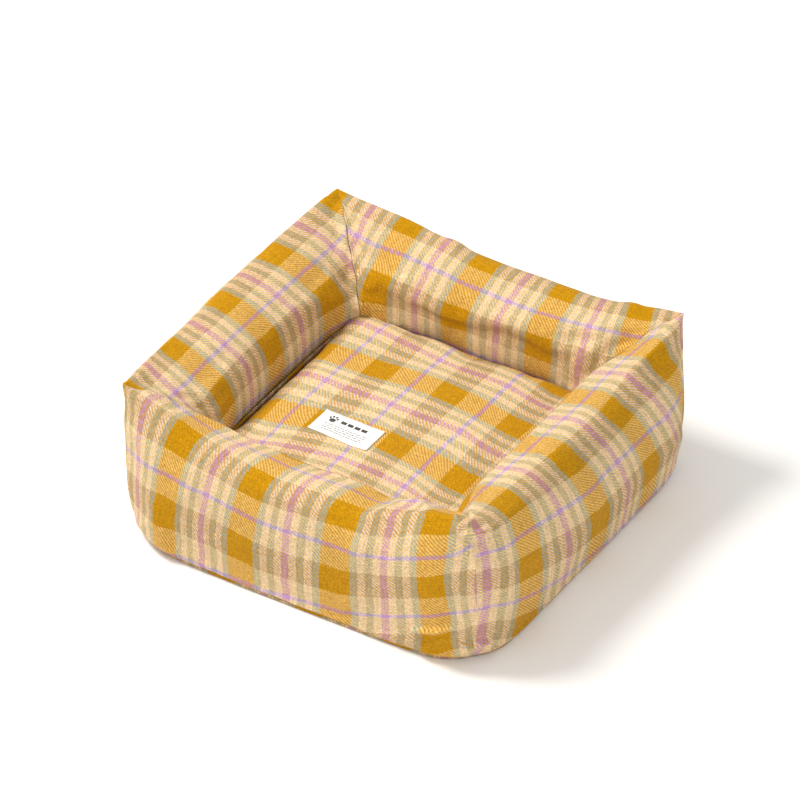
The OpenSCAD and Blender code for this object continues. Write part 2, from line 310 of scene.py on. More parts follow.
def plain_weave_material(name, light, dark, yarn_mm, bump_mm=0.08):
    """Plain weave, by the object's own place, for flat pieces."""
    cloth = Material(name)
    place = cloth.split(cloth.place())
    turns = math.tau / (2 * yarn_mm * MM)
    across, along = (cloth.math("SINE", cloth.times(place[axis], turns)) for axis in "XY")
    check = cloth.times(across, along)
    slub = cloth.noise(cloth.place(), 900.0, 3.0, 0.6)
    share = cloth.times_add(check, 0.3, slub, clamp=True)
    height = cloth.times_add(check, 0.5, slub)
    return cloth.shader(cloth.mix(share, dark, light), 0.85, height, bump_mm, sheen=0.1,
                        specular=0.25)


def fibre_material():
    fibre = Material("fibre_filling")
    strands = fibre.noise(fibre.place(), 420.0, 5.0, 0.75)
    lumps = fibre.noise(fibre.place(), 45.0, 2.0)
    height = fibre.math("ADD", strands, lumps)
    return fibre.shader(fibre.mix(strands, (0.74, 0.73, 0.70), (0.93, 0.92, 0.90)), 0.95, height,
                        1.2, sheen=0.3)


def thread_material(name, colour):
    """Twisted thread: fine diagonal plies along the piece."""
    thread = Material(name)
    wave = thread.node("ShaderNodeTexWave", bands_direction="DIAGONAL")
    thread.put(wave.inputs["Vector"], thread.place())
    wave.inputs["Scale"].default_value = 500.0
    dark = tuple(0.7 * c for c in colour)
    return thread.shader(thread.mix(wave.outputs["Fac"], dark, colour), 0.6,
                         wave.outputs["Fac"], 0.05, sheen=0.15)


def metal_material():
    metal = Material("zip_metal")
    grain = metal.noise(metal.place(), 2600.0, 3.0, 0.6)
    rough = metal.times_add(grain, 0.18, 0.26)
    return metal.shader(metal.mix(grain, (0.52, 0.51, 0.49), (0.66, 0.65, 0.63)), rough, grain,
                        0.02, metallic=1.0, specular=0.5)


def coil_material():
    coil = Material("zip_coil")
    grain = coil.noise(coil.place(), 1500.0, 2.0)
    return coil.shader(coil.mix(grain, linear(176, 118, 18), linear(206, 146, 34)), 0.42, grain,
                       0.02, specular=0.5)


def label_material():
    label = Material("label_satin")
    across, along = label.weave()
    ribs = label.math("SINE", label.times(along, math.tau / 0.5))
    slub = label.noise(label.combine(across, along), 1.6, 3.0, 0.6)
    share = label.times_add(ribs, 0.18, slub, clamp=True)
    height = label.math("ADD", ribs, slub)
    return label.shader(label.mix(share, (0.80, 0.79, 0.76), (0.93, 0.925, 0.91)), 0.5, height,
                        0.03, sheen=0.1, specular=0.4)


def print_material():
    ink = Material("label_print")
    wear = ink.noise(ink.place(), 2400.0, 3.0, 0.7)
    return ink.shader(ink.mix(wear, (0.03, 0.03, 0.032), (0.09, 0.088, 0.085)), 0.7, wear, 0.01)


# ---------------------------------------------------------------- mesh helpers
def add_piece(name, points, faces, material, body, replaced=(), uv=None, smooth=True):
    """A mesh piece that rides on a body. uv is one (u, v) per point, in metres."""
    mesh = bpy.data.meshes.new(name)
    mesh.from_pydata([tuple(p) for p in points], [], [tuple(f) for f in faces])
    mesh.materials.append(material)
    if uv is not None:
        set_uv(mesh, uv)
    if smooth:
        mesh.shade_smooth()
    mesh.update()
    piece = bpy.data.objects.new(name, mesh)
    bpy.context.scene.collection.objects.link(piece)
    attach(piece, body)
    if replaced:
        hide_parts(*replaced)
    return piece


def set_uv(mesh, uv):
    layer = mesh.uv_layers.new(name=CLOTH_UV)
    corners = np.empty(len(mesh.loops), dtype=np.int32)
    mesh.loops.foreach_get("vertex_index", corners)
    layer.data.foreach_set("uv", np.asarray(uv, float)[corners].astype(np.float32).ravel())


def points_of(mesh):
    flat = np.empty(len(mesh.vertices) * 3)
    mesh.vertices.foreach_get("co", flat)
    return flat.reshape(-1, 3)


def set_points(mesh, points):
    mesh.vertices.foreach_set("co", np.asarray(points, float).ravel())
    mesh.update()


def normals_of(mesh):
    flat = np.empty(len(mesh.vertices) * 3)
    mesh.vertex_normals.foreach_get("vector", flat)
    return flat.reshape(-1, 3)


def smoothstep(low, high, value):
    share = np.clip((np.asarray(value, float) - low) / (high - low), 0, 1)
    return share * share * (3 - 2 * share)


def mix(first, second, share):
    return first + (second - first) * share


def soft_noise(points, size, seed):
    """Smooth noise from -1 to 1 at each point, with features about size metres wide."""
    offset = Vector((seed * 17.3, seed * 5.1, seed * 9.7))
    return np.array([noise.noise(Vector(p) / size + offset) for p in points])


def lengths_along(path):
    """Length along a polyline at each of its points."""
    return np.r_[0, np.cumsum(np.linalg.norm(np.diff(path, axis=0), axis=1))]


def resample(path, count):
    """Points at equal steps along a polyline, with the length along it at each."""
    steps = lengths_along(path)
    at = np.linspace(0, steps[-1], count + 1)
    return np.stack([np.interp(at, steps, path[:, k]) for k in range(2)], 1), at


def grid_faces(rows, columns, wrap_rows=False, wrap_columns=False, start=0):
    faces = []
    for i in range(rows if wrap_rows else rows - 1):
        for j in range(columns if wrap_columns else columns - 1):
            i2, j2 = (i + 1) % rows, (j + 1) % columns
            faces.append((start + i * columns + j, start + i * columns + j2,
                          start + i2 * columns + j2, start + i2 * columns + j))
    return faces


def grid_places(columns, rows):
    """Places from -1 to 1 along both sides of a grid, row by row."""
    return (axis.ravel() for axis in np.meshgrid(np.linspace(-1, 1, columns),
                                                 np.linspace(-1, 1, rows)))


def subdivide(piece, levels=1):
    modifier = piece.modifiers.new("smooth", "SUBSURF")
    modifier.levels = modifier.render_levels = levels
    modifier.boundary_smooth = "PRESERVE_CORNERS"
    apply_modifiers(piece)


def thicken(piece, thickness):
    modifier = piece.modifiers.new("thick", "SOLIDIFY")
    modifier.thickness = thickness
    modifier.offset = -1
    apply_modifiers(piece)


def rod_points(centre, tangent, half_length, radius, rings=5, sides=6):
    """A short rounded rod along a tangent, as rows of points."""
    tangent = tangent / np.linalg.norm(tangent)
    helper = np.array((0.0, 0.0, 1.0)) if abs(tangent[2]) < 0.9 else np.array((1.0, 0.0, 0.0))
    side = np.cross(tangent, helper)
    side /= np.linalg.norm(side)
    other = np.cross(tangent, side)
    turn = np.linspace(0, math.tau, sides, endpoint=False)
    rows = []
    tip = 0.12
    for angle in np.linspace(tip, math.pi - tip, rings):
        around = np.outer(np.cos(turn), side) + np.outer(np.sin(turn), other)
        rows.append(centre - tangent * math.cos(angle) * half_length
                    + around * radius * math.sin(angle) ** 0.6)
    return np.array(rows)


def add_stitches(name, path, sizes, material, body, replaced=(), closed=False):
    """A row of thread stitches along a path of points. Their sizes are the step from one to
    the next, their length and their radius, in millimetres."""
    step, length, radius = (size * MM for size in sizes)
    path = np.asarray(path, float)
    if closed:
        path = np.vstack([path, path[:1]])
    steps = lengths_along(path)
    count = max(2, int(steps[-1] / step))
    at = (np.arange(count) + 0.5) * steps[-1] / count
    points, faces = [], []
    for place in at:
        ends = [np.array([np.interp(place + k, steps, path[:, axis]) for axis in range(3)])
                for k in (-length / 2, length / 2)]
        rod = rod_points((ends[0] + ends[1]) / 2, ends[1] - ends[0], length / 2, radius)
        start = len(points)
        rows, sides = rod.shape[:2]
        points.extend(rod.reshape(-1, 3))
        faces.extend(grid_faces(rows, sides, wrap_columns=True, start=start))
        faces.append(tuple(start + k for k in range(sides)))
        faces.append(tuple(start + (rows - 1) * sides + k for k in reversed(range(sides))))
    return add_piece(name, points, faces, material, body, replaced)


def apply_modifiers(piece):
    graph = bpy.context.evaluated_depsgraph_get()
    made = bpy.data.meshes.new_from_object(piece.evaluated_get(graph), depsgraph=graph)
    old = piece.data
    piece.modifiers.clear()
    piece.data = made
    bpy.data.meshes.remove(old)


# ---------------------------------------------------------------- the ring of walls
# A wall's section is told in r, outward from the bed's middle, and z. The bed is longer than
# it is wide, so the side walls stand further out than their r by MITRE_SHIFT.
lining_low, lining_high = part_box("lining_upstand")
BULGE_R = cad_high[1]
MITRE_SHIFT = cad_high[0] - BULGE_R
INNER_R = lining_high.y + 0.2 * MM
BULGE_Z = 0.082
FOOT_R = BULGE_R - 0.022
FOOT_Z = 0.003
CORNER_BULGE = -0.007
WALL_CELLS = 60
OUTER_CELLS = 34
INNER_CELLS = 30
UNDER_CELLS = 5
SECTION = OUTER_CELLS + INNER_CELLS + UNDER_CELLS

# Walls in order round the ring, anticlockwise from above: outward and along directions
WALLS = {
    "front": ((0, -1), (1, 0)),
    "right": ((1, 0), (0, 1)),
    "back": ((0, 1), (-1, 0)),
    "left": ((-1, 0), (0, -1)),
}
# The corners before and after each wall
CORNERS = {"front": ("front_left", "front_right"), "right": ("front_right", "back_right"),
           "back": ("back_right", "back_left"), "left": ("back_left", "front_left")}
# Each wall's stuffing has settled its own way: how far it bulges past the plain outline
# at its middle and at its foot, where its ridge runs, as r and z, and the lumps in that
# ridge, as (u, spread, rise)
WALL_FORM = {
    "front": {"bulge": -0.007, "foot": 0.007, "ridge": (0.192, 0.144),
              "lumps": [(0.74, 0.13, 0.011), (0.45, 0.14, -0.007)]},
    "right": {"bulge": -0.006, "foot": 0.001, "ridge": (0.183, 0.165), "lumps": []},
    "back": {"bulge": -0.009, "foot": 0.0, "ridge": (0.190, 0.178),
             "lumps": [(0.62, 0.34, 0.009)]},
    "left": {"bulge": 0.003, "foot": 0.001, "ridge": (0.206, 0.182), "lumps": []},
}
# Each corner: its peak's r and z, its radius in plan at the bulge, and how long it stays
# that round on the way up
CORNER_FORM = {
    "front_left": {"peak": (0.200, 0.186), "radius": 0.084, "round": 1.7},
    "front_right": {"peak": (0.187, 0.169), "radius": 0.068, "round": 6.0},
    "back_left": {"peak": (0.199, 0.192), "radius": 0.064, "round": 2.2},
    "back_right": {"peak": (0.202, 0.189), "radius": 0.070, "round": 2.2},
}
# The inner faces lean in over the cushion's edge, and further on the mitre planes
INNER_FACE = (0.136, 0.100)
INNER_CORNER = (0.128, 0.108)
INNER_LOW_Z = 0.055
# Where the plaid's lines run on each wall, in millimetres, as the first line's number, the
# places the lines are given at, and the lines there. The wide sett's lines are told along
# the wall at two heights, and the plain sett's up the section at places along the wall.
WALL_LINES = {
    "front": {
        "wide": (-2, (60, 160), ((-147, -103, -57, -2, 57, 116, 178, 225),
                                 (-134, -88, -38, 4, 64, 112, 162, 213))),
        "plain": (-1, (-150, -30, 60, 115, 190, 214),
                  ((12, 68, 110, 149, 192), (9, 51, 97, 138, 182), (20, 58, 102, 143, 187),
                   (38, 77, 111, 148, 192), (72, 108, 130, 158, 196), (79, 110, 137, 168, 205)))},
    "right": {
        "wide": (5, (60, 160), ((-198, -122, -48, 14, 68, 113, 165, 215),
                                (-184, -128, -78, -33, 22, 63, 109, 153))),
        "plain": (-1, (-208, -190, -125, -35, 50, 115),
                  ((79, 110, 137, 168, 205), (77, 110, 140, 178, 213), (52, 91, 132, 172, 210),
                   (20, 65, 115, 163, 205), (10, 57, 112, 159, 200), (12, 62, 111, 166, 206)))},
    "back": {
        "wide": (-4, (195, 267), ((-162, -118, -75, -29, 20, 70, 114, 162),
                                  (-172, -122, -69, -19, 31, 77, 124, 170))),
        "plain": (4, (0,), ((195, 228, 268, 308),))},
    "left": {
        "wide": (-3, (205, 280), ((-132, -77, -30, 18, 68, 114, 158),
                                  (-145, -92, -41, 12, 59, 111, 153))),
        "plain": (4, (0,), ((206, 242, 283, 323),))},
}


def mitre_shifts(wall):
    """How much further out, and how much longer, a wall is than a square ring's would be."""
    return (MITRE_SHIFT, 0) if wall in ("left", "right") else (0, MITRE_SHIFT)


def in_world(wall, outward, along, heights):
    """World points from places outward from the middle and along a wall."""
    (nx, ny), (tx, ty) = WALLS[wall]
    return np.stack([outward * nx + along * tx, outward * ny + along * ty, heights], 1)


def quarter(angle, square):
    """Quarter of a superellipse."""
    return np.abs(np.cos(angle)) ** (2 / square), np.abs(np.sin(angle)) ** (2 / square)


def corner_at(wall, u):
    return CORNERS[wall][1 if u > 0 else 0]


def wall_section(wall, u):
    """Section at u, from -1 to 1 along a wall: outer and inner halves as (r, z) paths."""
    form, peak = WALL_FORM[wall], CORNER_FORM[corner_at(wall, u)]["peak"]
    p = abs(u) ** 4
    lump = sum(rise * math.exp(-((u - at) / spread) ** 2) for at, spread, rise in form["lumps"])
    top_r = mix(form["ridge"][0], peak[0], p)
    top_z = mix(form["ridge"][1] + lump, peak[1], p)
    widest = BULGE_R + mix(form["bulge"], CORNER_BULGE, abs(u) ** 3)
    foot = FOOT_R + form["foot"] * (1 - abs(u) ** 3)
    angle = np.linspace(0, math.pi / 2, 40)
    cos, sin = quarter(angle, 2.1)
    low = np.stack([mix(foot, widest, cos), mix(BULGE_Z, FOOT_Z, sin)], 1)[::-1]
    cos, sin = quarter(angle, mix(2.3, 1.75, p))
    high = np.stack([mix(top_r, widest, cos), mix(BULGE_Z, top_z, sin)], 1)
    face_r = mix(INNER_FACE[0], INNER_CORNER[0], p)
    face_z = mix(INNER_FACE[1], INNER_CORNER[1], p)
    cos, sin = quarter(angle, mix(np.linspace(2.3, 1.7, len(angle)), 1.1, p))
    inner = np.stack([mix(top_r, face_r, cos), mix(face_z, top_z, sin)], 1)[::-1]
    share = np.linspace(0, 1, 12)[1:]
    under = np.stack([mix(face_r, INNER_R, smoothstep(0, 1, share)),
                      mix(face_z, INNER_LOW_Z, share)], 1)
    inner = np.vstack([inner, under, [[INNER_R, FOOT_Z]]])
    return np.vstack([low, high[1:]]), inner


def corner_radius(z, corner):
    """Plan radius of an outer corner, which sharpens to nothing at the peak."""
    form = CORNER_FORM[corner]
    high = np.clip((z - BULGE_Z) / (form["peak"][1] - BULGE_Z), 0, 1)
    return form["radius"] * np.sqrt(1 - high ** form["round"])


def wall_station(wall, u):
    """World points, cloth coordinates and section lengths of one ring station."""
    corner = corner_at(wall, u)
    outer_path, inner_path = wall_section(wall, u)
    outer, outer_at = resample(outer_path, OUTER_CELLS)
    inner, inner_at = resample(inner_path, INNER_CELLS)
    under_r = np.linspace(inner[-1, 0], outer[0, 0], UNDER_CELLS + 1)[1:-1]
    under = np.stack([under_r, np.full(UNDER_CELLS - 1, FOOT_Z)], 1)
    rz = np.vstack([outer, inner[1:], under])
    height = (outer[:, 1] - BULGE_Z) / (outer[-1, 1] - BULGE_Z)
    peak_z = CORNER_FORM[corner]["peak"][1]
    radius = np.zeros(len(rz))
    radius[:OUTER_CELLS + 1] = corner_radius(mix(BULGE_Z, peak_z, height), corner)
    radius[OUTER_CELLS + INNER_CELLS + 1:] = np.linspace(0, radius[0], UNDER_CELLS + 1)[1:-1]
    normal, tangent = (rz[:, 0] + shift for shift in mitre_shifts(wall))
    along = abs(u) * (tangent - radius + radius * math.pi / 4)
    bend = np.where(radius > 0, np.clip((along - tangent + radius) / np.maximum(radius, 1e-9),
                                        0, math.pi / 4), 0)
    straight = np.minimum(along, tangent - radius)
    points = in_world(wall, normal - radius + radius * np.cos(bend),
                      np.sign(u) * (straight + radius * np.sin(bend)), rz[:, 1])
    return points, np.sign(u) * along, outer_at, inner_at


def cloth_heights(outer_at, inner_at, outer_full, inner_full):
    """Cloth coordinate round the section, from the outer foot over to the inner foot. The
    panel lies plain on both faces, and its spare length is eased in below the peaks."""
    ease_out = smoothstep(0.55, 1, outer_at / outer_at[-1]) * (outer_full - outer_at[-1])
    from_foot = inner_at[-1] - inner_at
    ease_in = smoothstep(0.45, 1, from_foot / inner_at[-1]) * (inner_full - inner_at[-1])
    outer = outer_at + ease_out
    inner = outer_full + inner_full - (from_foot + ease_in)
    under = inner[-1] + np.linspace(0, 0.05, UNDER_CELLS + 1)[1:-1]
    return np.r_[outer, inner[1:], under]


# Creases in the covers: points along each in millimetres, then its width and depth
CREASES = [
    (((176, -186, 162), (187, -196, 156), (200, -185, 155), (212, -166, 157)), 4.5, 5.5),
    (((-209, -196, 184), (-211, -199, 141), (-203, -207, 112), (-185, -215, 92)), 3.5, 3.0),
    (((-185, -215, 92), (-168, -221, 80), (-158, -223, 62)), 3.5, 2.5),
    (((99, -160, 142), (92, -190, 146), (84, -215, 128), (80, -223, 100)), 13.0, 4.0),
    (((-191, -150, 184), (-150, -120, 130)), 12.0, 3.0),
    (((150, 196, 182), (128, 150, 140), (120, 139, 118)), 12.0, 3.0),
    (((-60, 199, 184), (-48, 160, 150), (-40, 140, 120)), 14.0, 3.0),
    (((-90, -185, 145), (-118, -214, 120), (-130, -223, 84)), 12.0, 2.5),
    (((196, -40, 166), (228, -15, 120), (233, 0, 80)), 15.0, 3.0),
    (((205, 110, 168), (226, 130, 120), (229, 150, 60)), 13.0, 3.0),
    (((60, -222, 20), (72, -223, 44), (98, -222, 58)), 5.0, 2.2),
    (((-120, -222, 16), (-108, -223, 40), (-84, -223, 52)), 5.0, 2.0),
]
# Folds where the cover is gathered at its foot, found by direction from the middle. They lie
# about FOLD_REACH from it, on the outer faces only.
FOOT_FOLDS = [
    (((150, -222, 33), (165, -222, 38), (179, -221, 45), (192, -216, 53)), 3.0, 6.0),
    (((198, -211, 33), (208, -202, 30), (220, -190, 30)), 3.0, 6.0),
]
FOLD_REACH = 0.29
OUTER_FACES = (0.19, 0.20)
# How deep the seam down each inner corner is drawn in, in millimetres
SEAM_DEPTH = {"front_left": 4.0, "front_right": 4.0, "back_left": 9.0, "back_right": 5.0}
SEAM_WIDTH = 7.0


def distance_to(points, start, end):
    """Distance of points to a segment."""
    line = end - start
    share = np.clip((points - start) @ line / (line @ line), 0, 1)
    return np.linalg.norm(points - start - share[:, None] * line, axis=1)


def from_mitre(points):
    """How far points are from the mitre planes, measured along an axis."""
    return np.abs((np.abs(points[:, 0]) - MITRE_SHIFT) - np.abs(points[:, 1]))


def ring_normals(mesh):
    """Normals that lie in the mitre planes at the walls' ends, so that the walls stay joined."""
    points, normals = points_of(mesh), normals_of(mesh)
    across = np.stack([np.sign(points[:, 0]), -np.sign(points[:, 1]), 0 * points[:, 0]], 1)
    across /= math.sqrt(2)
    share = np.exp(-(from_mitre(points) / 0.006) ** 2)
    return normals - across * (share * np.sum(normals * across, axis=1))[:, None]


def inner_seam(wall):
    """Points down the inner corner after a wall, below its peak."""
    return wall_station(wall, 1.0)[0][OUTER_CELLS + 3:OUTER_CELLS + INNER_CELLS - 6:4]


def level_out(points):
    """Points with their distances from the bed's middle nearly evened out."""
    away = np.linalg.norm(points[:, :2], axis=1, keepdims=True)
    return np.hstack([points[:, :2] * (FOLD_REACH / away) ** 0.8, points[:, 2:]])


def groove(points, path, width, depth):
    """How far each point sinks into a groove along a path. The groove's sizes are in
    millimetres."""
    near = np.min([distance_to(points, a, b) for a, b in zip(path, path[1:])], axis=0)
    return depth * MM * np.exp(-(near / (width * MM)) ** 2)


def press_creases(piece):
    points, normals = points_of(piece.data), ring_normals(piece.data)
    sinks = [groove(points, inner_seam(wall), SEAM_WIDTH, SEAM_DEPTH[corner])
             for wall, (_, corner) in CORNERS.items()]
    sinks += [groove(points, np.array(path) * MM, width, depth) for path, width, depth in CREASES]
    outside = smoothstep(*OUTER_FACES, np.max(np.abs(points[:, :2]), axis=1))
    sinks += [outside * groove(level_out(points), level_out(np.array(path) * MM), width, depth)
              for path, width, depth in FOOT_FOLDS]
    set_points(piece.data, points - normals * np.max(sinks, axis=0)[:, None])


# Lumps in the stuffing: their size in metres, their height in millimetres and their seed
WALL_LUMPS = ((0.075, 1.6, 20), (0.024, 0.45, 21))
CROWN_LUMPS = ((0.07, 1.2, 41), (0.022, 0.4, 42))
# Puckers beside the corner seams: millimetres from one to the next, how far they reach from
# the seam, and the outward distances between which they fade
PUCKER_MM, PUCKER_REACH, PUCKER_FADE = 17, 0.022, (0.16, 0.19)


def lumps(points, table):
    """Height of the stuffing's lumps at each point, in millimetres."""
    return sum(rise * soft_noise(points, size, seed) for size, rise, seed in table)


def add_lumps(piece):
    """Uneven stuffing, the same at the ends of two walls, and puckers where a wall's cover is
    gathered into its corner seams."""
    points, normals = points_of(piece.data), ring_normals(piece.data)
    ripple = np.sin(points[:, 2] / MM * math.tau / PUCKER_MM + 3 * soft_noise(points, 0.05, 22))
    outward = np.maximum(np.abs(points[:, 0]) - MITRE_SHIFT, np.abs(points[:, 1]))
    near_seam = np.exp(-from_mitre(points) / PUCKER_REACH)
    swell = lumps(points, WALL_LUMPS)
    swell += ripple * near_seam * (1 - smoothstep(*PUCKER_FADE, outward))
    set_points(piece.data, points + normals * (swell * MM)[:, None])


STUFFED_CLOTH = {
    "quality": 6, "mass": 0.25, "tension_stiffness": 20, "compression_stiffness": 20,
    "shear_stiffness": 8, "bending_stiffness": 0.15, "use_pressure": True,
    "uniform_pressure_force": 4, "shrink_min": -0.025, "shrink_max": -0.025,
}
STUFFING_FRAMES = 18


def fill_out(piece, pinned, cap):
    """Swells a cover with stuffing by cloth simulation, from a slightly roomier cloth, and
    lets no point travel further than cap."""
    start = points_of(piece.data)
    group = piece.vertex_groups.new(name="pinned")
    for index in np.flatnonzero(pinned):
        group.add([int(index)], 1.0, "REPLACE")
    cloth = piece.modifiers.new("cloth", "CLOTH")
    for name, value in STUFFED_CLOTH.items():
        setattr(cloth.settings, name, value)
    cloth.settings.vertex_group_mass = group.name
    cloth.settings.effector_weights.gravity = 0
    scene = bpy.context.scene
    for frame_number in range(1, STUFFING_FRAMES + 1):
        scene.frame_set(frame_number)
    graph = bpy.context.evaluated_depsgraph_get()
    moved = points_of(piece.evaluated_get(graph).data) - start
    length = np.linalg.norm(moved, axis=1, keepdims=True)
    moved *= np.tanh(length / cap) * cap / np.maximum(length, 1e-9)
    piece.modifiers.remove(cloth)
    piece.vertex_groups.clear()
    set_points(piece.data, start + moved)
    scene.frame_set(1)


def station_places():
    """u at each cell border of a wall, closer together near its corners."""
    even = np.linspace(-1, 1, WALL_CELLS + 1)
    return 0.66 * even + 0.34 * np.sin(even * math.pi / 2)


def on_lines(place, other, table, line):
    """Cloth coordinate of places given the plaid's lines around them, all in millimetres."""
    first, at, rows = table
    lines = np.stack([np.interp(other, at, column) for column in np.transpose(rows)], 1)
    last = lines.shape[1] - 2
    before = np.clip((place[:, None] > lines).sum(1) - 1, 0, last)
    near, far = (np.take_along_axis(lines, (before + k)[:, None], 1)[:, 0] for k in (0, 1))
    return line[0] + line[1] * (first + before + (place - near) / (far - near))


def cloth_from_lines(across, along, tables):
    """Cloth coordinates in metres from places in metres."""
    across, along = across / MM, along / MM
    return MM * np.stack([on_lines(across, along, tables["wide"], SETT_LINES_MM["wide"]),
                          on_lines(along, across, tables["plain"], SETT_LINES_MM["plain"])], 1)


def build_ring():
    """Points and cloth coordinates of the whole ring, with one row of stations per wall."""
    points, cloth = [], []
    for wall in WALLS:
        stations = [wall_station(wall, u) for u in station_places()]
        middle = stations[WALL_CELLS // 2]
        for place, along, outer_at, inner_at in stations:
            heights = cloth_heights(outer_at, inner_at, middle[2][-1], middle[3][-1])
            points.append(place)
            cloth.append(cloth_from_lines(along, heights, WALL_LINES[wall]))
    return np.array(points), np.array(cloth)


plaid = plaid_material()


def add_walls():
    """The four walls. Returns the ring's points, one row of stations after another."""
    points, cloth = build_ring()
    stations = WALL_CELLS + 1
    faces = grid_faces(stations, SECTION, wrap_columns=True)
    for index, wall in enumerate(WALLS):
        part = slice(index * stations, (index + 1) * stations)
        piece = add_piece(f"{wall}_wall", points[part].reshape(-1, 3), faces, plaid, "nest",
                          [f"{wall}_wall_cover", f"{wall}_wall_fill"],
                          cloth[part].reshape(-1, 2))
        held = np.zeros((stations, SECTION), bool)
        held[[0, -1]] = held[:, :2] = held[:, OUTER_CELLS + INNER_CELLS - 8:] = True
        fill_out(piece, held.ravel(), 4.5 * MM)
        subdivide(piece, 2)
        add_lumps(piece)
        press_creases(piece)
    return points


# ---------------------------------------------------------------- the cushion
CUSHION_CELLS = 48
CUSHION_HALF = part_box("cushion_top_cover")[1]
CROWN_Z = CUSHION_HALF.z + 0.003
CUSHION_BASE_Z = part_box("cushion_bottom_cover")[0].z
CUSHION_LINES = {
    "wide": (-2, (-110, -15, 66, 107), ((-160, -112, -62, 12, 50, 115, 160),
                                        (-142, -91, -44, 8, 58, 101, 150),
                                        (-150, -100, -55, 9, 52, 100, 140),
                                        (-158, -110, -63, -3, 44, 92, 124))),
    "plain": (-2, (0,), ((-133, -97, -60, -16, 23, 66, 106, 147),)),
}
ZIP_HALF, REAR_Y, zip_top_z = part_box("zip_tape_upper")[1]
SEAM_Z = (zip_top_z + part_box("zip_tape_lower")[0].z) / 2
ZIP_BAND = zip_top_z - SEAM_Z


def lengths_from_middle(points, axis):
    """Signed length over the surface from a grid's middle line, along one of its axes."""
    steps = np.linalg.norm(np.diff(points, axis=axis), axis=2)
    pad = [(0, 0), (0, 0)]
    pad[axis] = (1, 0)
    length = np.pad(np.cumsum(steps, axis=axis), pad)
    return length - np.take(length, [CUSHION_CELLS // 2], axis=axis)


def cushion_sheet(upper):
    """Points of the cushion's upper or lower panel on a grid, with its cloth coordinates."""
    line = np.linspace(-1, 1, CUSHION_CELLS + 1)
    line = 0.6 * line + 0.4 * np.sin(line * math.pi / 2)
    a, b = np.meshgrid(line, line)
    rear = 1 - smoothstep(0.9, 1.0, np.abs(a))
    half_x = CUSHION_HALF.x - 0.003 * (1 - b ** 2)
    half_y = CUSHION_HALF.y - 0.003 * (1 - a ** 2)
    x = a * half_x
    y = b * half_y
    # The rear side leans out over the zip and comes back in to it
    overhang = mix(b * (CUSHION_HALF.y + 0.003), REAR_Y, smoothstep(0.955, 1, b))
    y = mix(y, overhang, rear * smoothstep(0.7, 0.95, b))
    swell = ((1 - np.abs(a) ** 28) * (1 - np.abs(b) ** 24)) ** 0.32
    dome = 1 - 0.07 * (a ** 2 + b ** 2)
    opening = 1 - smoothstep(ZIP_HALF - 0.006, ZIP_HALF + 0.007, np.abs(x))
    rise = ZIP_BAND * opening * np.clip(b, 0, 1) ** 24
    if upper:
        z = mix(SEAM_Z + rise, CROWN_Z, swell * dome)
    else:
        z = mix(SEAM_Z - rise, CUSHION_BASE_Z, swell)
    points = np.stack([x, y, z], 2)
    across, along = (lengths_from_middle(points, axis) for axis in (1, 0))
    return points.reshape(-1, 3), cloth_from_lines(along.ravel(), across.ravel(), CUSHION_LINES)


# Dents in the cushion's crown: middle in millimetres, spread and depth
CROWN_DENTS = [((-20, -92), 26, 3.0), ((70, 40), 34, 2.2), ((-70, 60), 36, 2.2),
               ((96, -92), 22, 3.0), ((-112, -100), 22, 2.5), ((10, 118), 30, 2.0)]


def plump_crown(piece):
    """Uneven filling of the loose cushion."""
    points, normals = points_of(piece.data), normals_of(piece.data)
    inside = smoothstep(SEAM_Z + 0.01, CROWN_Z - 0.012, points[:, 2])
    swell = lumps(points, CROWN_LUMPS)
    for (x, y), spread, depth in CROWN_DENTS:
        away = np.hypot(points[:, 0] - x * MM, points[:, 1] - y * MM)
        swell -= depth * np.exp(-(away / (spread * MM)) ** 2)
    set_points(piece.data, points + normals * (inside * swell * MM)[:, None])


def add_cushion():
    """The cushion's two panels. Returns the upper one."""
    made = []
    for name, upper in (("cushion_top", True), ("cushion_bottom", False)):
        points, cloth = cushion_sheet(upper)
        n = CUSHION_CELLS + 1
        faces = grid_faces(n, n)
        if not upper:
            faces = [face[::-1] for face in faces]
        nodes = ["cushion_top_cover", "cushion_fill"] if upper else ["cushion_bottom_cover"]
        piece = add_piece(name, points, faces, plaid, "cushion", nodes, cloth)
        held = np.zeros((n, n), bool)
        held[[0, -1]] = held[:, [0, -1]] = True
        fill_out(piece, held.ravel(), 4 * MM)
        subdivide(piece)
        if upper:
            plump_crown(piece)
        made.append(piece)
    return made[0]


# ---------------------------------------------------------------- base, linings, seams
def plan_normals(outline):
    along = np.roll(outline, -1, 0) - np.roll(outline, 1, 0)
    normals = np.stack([along[:, 1], -along[:, 0]], 1)
    return normals / np.linalg.norm(normals, axis=1, keepdims=True)


def foot_outline(ring):
    """The walls' outline at the floor, without the doubled points on the mitre planes."""
    keep = [i for i in range(len(ring)) if (i + 1) % (WALL_CELLS + 1)]
    return ring[keep, 0, :2]


# In millimetres: the base cloth's inset from the walls' outline, its height and thickness
BASE_INSET, BASE_HEIGHT, BASE_THICK = 1.8, 1.1, 0.9
# The binding's section in millimetres: its half sizes, and its middle's inset and height
BINDING_HALF, BINDING_MIDDLE = (1.1, 1.7), (0.7, 2.0)


